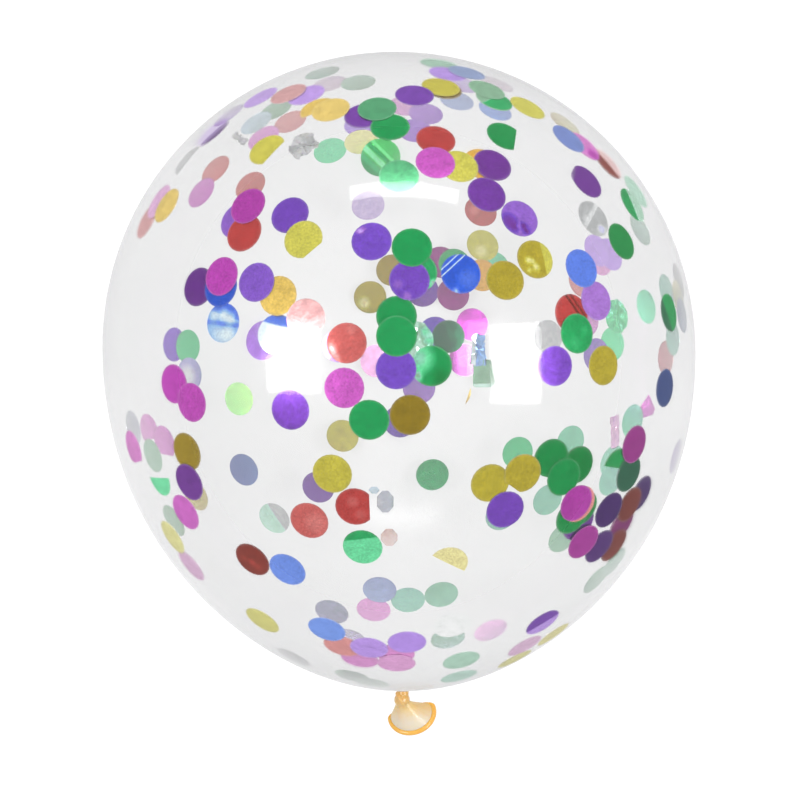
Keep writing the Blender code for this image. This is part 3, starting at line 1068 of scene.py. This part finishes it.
def lay_disc(across_px, down_px, shade, special, pile):
    """One disc, from a flat sheet to its place. Returns its bmesh, or None where there is no skin."""
    found = seen_on_skin(across_px, down_px, pile.wall)
    if found is None:
        print("no skin at", across_px, down_px)
        return None
    spot, facing = found
    turn = disc_turn(facing)
    place = Matrix.Translation(spot) @ turn.to_4x4()

    def turned(name):
        return [(way_on_disc(turn, entry[0]), *entry[1:]) for entry in special.get(name, ())]

    rings = FINE_RINGS if special or facing.z < REST_SLOPE else DISC_RINGS
    sheet = round_sheet(CRUSHED_RINGS if "crumple" in special else rings)
    tint(sheet, shade, turned("bands"), turned("spots"))
    for way, share in turned("clips"):
        score(sheet, way, share, clip=True)
    if "crumple" in special:
        crumple(sheet, special["crumple"], chance)
    follow_skin(sheet, place, facing)
    for way, share, bend_deg in turned("creases"):
        crease(sheet, way, share, bend_deg)
    thicken(sheet)
    sink = Matrix.Translation(-facing * pile.depth(spot))
    bmesh.ops.transform(sheet, matrix=sink @ place, verts=sheet.verts)
    return sheet


def add_sheet(shape, sheet):
    """Adds one bmesh to another, by way of a mesh."""
    carrier = bpy.data.meshes.new("carrier")
    sheet.to_mesh(carrier)
    shape.from_mesh(carrier)
    bpy.data.meshes.remove(carrier)
    sheet.free()


shapes = {colour: bmesh.new() for colour in COLOURS}
for shape in shapes.values():
    for name in DISC_NOTES:
        shape.verts.layers.float.new(name)
for wall_name, entries in (("near", NEAR), ("far", FAR)):
    pile = Pile(wall_name)
    for colour, across_px, down_px, shade, *more in entries:
        sheet = lay_disc(across_px, down_px, shade, more[0] if more else {}, pile)
        if sheet is not None:
            add_sheet(shapes[colour], sheet)
    print(wall_name, "wall:", len(entries), "discs, deepest pile", max(level for _, level in pile.laid) + 1)

# %% [markdown]
# ## Foil
# Metallised film is a mirror under a thin coloured lacquer. A plain metal for each colour would make
# all its discs alike, so each disc's shade is looked up on a card of its colour.

# %% Cards of foil colours
# each stop is a shade and the colour there. The palest stops give pale foil and also painted glints
# and streaks, and the green card's stop at 0.18 paints the bright streaks of the striped disc.
CARDS = {
    "purple": [
        (0.0, (0.05, 0.010, 0.12)), (0.25, (0.18, 0.035, 0.32)), (0.5, (0.20, 0.075, 0.60)),
        (0.7, (0.44, 0.20, 0.70)), (0.8, (0.50, 0.30, 0.86)), (0.9, (0.60, 0.38, 0.88)),
        (1.0, (0.78, 0.63, 1.0)),
    ],
    "green": [
        (0.0, (0.012, 0.075, 0.05)), (0.12, (0.009, 0.13, 0.052)), (0.14, (0.085, 0.36, 0.17)),
        (0.16, (0.13, 0.84, 0.19)), (0.18, (0.34, 1.0, 0.52)), (0.2, (0.004, 0.18, 0.035)),
        (0.25, (0.004, 0.20, 0.035)), (0.45, (0.004, 0.36, 0.09)), (0.6, (0.05, 0.55, 0.20)),
        (0.75, (0.16, 0.80, 0.38)), (0.86, (0.32, 0.68, 0.52)), (0.93, (0.27, 0.50, 0.32)),
        (1.0, (0.66, 0.92, 0.80)),
    ],
    "magenta": [
        (0.0, (0.17, 0.012, 0.11)), (0.25, (0.34, 0.03, 0.27)), (0.5, (0.55, 0.06, 0.50)),
        (0.75, (0.78, 0.26, 0.68)), (0.9, (0.84, 0.50, 0.76)), (1.0, (0.90, 0.74, 0.86)),
    ],
    "red": [
        (0.0, (0.12, 0.018, 0.012)), (0.25, (0.30, 0.04, 0.025)), (0.5, (0.55, 0.06, 0.055)),
        (0.75, (0.80, 0.25, 0.23)), (0.9, (0.75, 0.41, 0.41)), (1.0, (0.98, 0.79, 0.77)),
    ],
    "gold": [
        (0.0, (0.17, 0.10, 0.004)), (0.2, (0.36, 0.25, 0.010)), (0.45, (0.57, 0.49, 0.045)),
        (0.6, (0.68, 0.64, 0.10)), (0.75, (0.88, 0.84, 0.38)), (0.8, (0.92, 0.84, 0.40)),
        (0.88, (0.78, 0.52, 0.09)), (1.0, (0.90, 0.45, 0.06)),
    ],
    "blue": [
        (0.0, (0.015, 0.035, 0.16)), (0.12, (0.14, 0.21, 0.46)), (0.25, (0.40, 0.50, 0.76)),
        (0.35, (0.025, 0.08, 0.50)), (0.5, (0.03, 0.13, 0.78)), (0.75, (0.17, 0.30, 0.88)),
        (0.9, (0.34, 0.58, 0.92)), (1.0, (0.82, 0.94, 0.97)),
    ],
    "silver": [
        (0.0, (0.40, 0.41, 0.41)), (0.25, (0.68, 0.69, 0.69)), (0.4, (0.48, 0.47, 0.78)),
        (0.55, (0.90, 0.92, 0.92)), (0.75, (0.62, 0.97, 0.80)), (0.9, (0.52, 0.72, 0.27)),
        (1.0, (0.96, 0.98, 0.97)),
    ],
}
print("shades on the cards:", {colour: len(stops) for colour, stops in CARDS.items()})

# %% [markdown]
# ## Dulled metal, with painted sparkle and a painted rim highlight
# Handling has dulled the foil, so that its gleam is soft and patchy. Its colour is finely grained: the
# specks are partly the foil's own grain and partly painted sparkle, where crinkles would glint. Its rim
# is painted paler, a painted highlight where the punched edge would catch the light. One noise could do
# for all of it, but grain shows mostly as light and dark specks. So a coarse noise rules the gloss and
# the dents as well, and a fine one the colour alone.

# %% Foil finish
PATCH_SCALE = 220.0
PATCH_DETAIL = 3.0
PATCH_DEPTH = 0.4
GRAIN_AND_SPARKLE_SCALE = 1100.0
GRAIN_AND_SPARKLE_DETAIL = 2.0
GRAIN_AND_SPARKLE_DEPTH = 0.9
# painted rim highlight: paler from the first share to the second, as if the punched edge caught the light
RIM_HIGHLIGHT_START, RIM_HIGHLIGHT_END = 0.91, 0.97  # shares of the way to the rim
RIM_HIGHLIGHT_DEPTH = 0.10
PAINTED_RIM_HIGHLIGHT = (0.85, 0.86, 0.86, 1)
EDGE_TINT = (0.6, 0.6, 0.6, 1)  # a lacquered mirror whitens less at a glancing angle than bare metal
FOIL_METAL = 0.9
FOIL_ROUGHNESS = 0.18
ROUGHNESS_CHANGE = 0.12
DENT_STRENGTH = 0.10
DENT_HEIGHT = 0.0004


def foil(colour_name):
    """Lacquered metal in one colour, with each disc's shade, painted sparkle and a painted rim highlight."""
    metal = Finish(colour_name + "_foil")
    place = metal.node("ShaderNodeTexCoord", output="Object")
    shade, reach = (
        metal.node("ShaderNodeAttribute", {"attribute_name": name}, output="Fac") for name in DISC_NOTES
    )
    card = metal.node("ShaderNodeValToRGB", {"stops": CARDS[colour_name]}, {"Fac": shade})
    patches = metal.noise(place, PATCH_SCALE, PATCH_DETAIL)
    # fine specks of colour: partly the foil's own grain, partly painted sparkle where crinkles would glint
    grain_and_sparkle = metal.noise(place, GRAIN_AND_SPARKLE_SCALE, GRAIN_AND_SPARKLE_DETAIL)
    strength = 1 + (patches - 0.5) * PATCH_DEPTH + (grain_and_sparkle - 0.5) * GRAIN_AND_SPARKLE_DEPTH
    mottled_and_sparkled = metal.node("ShaderNodeVectorMath", {"operation": "SCALE"}, {0: card, "Scale": strength})
    # a painted highlight along the rim
    rim_highlight_range = {"Value": reach, "From Min": RIM_HIGHLIGHT_START, "From Max": RIM_HIGHLIGHT_END, "To Max": RIM_HIGHLIGHT_DEPTH}
    rim_highlight = metal.node("ShaderNodeMapRange", {}, rim_highlight_range)
    colour = metal.node("ShaderNodeMix", {"data_type": "RGBA"}, {0: rim_highlight, 6: mottled_and_sparkled, 7: PAINTED_RIM_HIGHLIGHT}, output=2)
    dents = metal.node(
        "ShaderNodeBump", {}, {"Height": patches, "Strength": DENT_STRENGTH, "Distance": DENT_HEIGHT}
    )
    shader = metal.node(
        "ShaderNodeBsdfPrincipled",
        {},
        {
            "Base Color": colour,
            "Metallic": FOIL_METAL,
            "Roughness": FOIL_ROUGHNESS + (patches - 0.5) * ROUGHNESS_CHANGE,
            "Specular Tint": EDGE_TINT,
            "Normal": dents,
        },
    )
    return metal.show(shader)


for colour in COLOURS:
    piece = new_piece("confetti_" + colour, shapes[colour], foil(colour))
    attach(piece, "root")
    colour + "_foil"
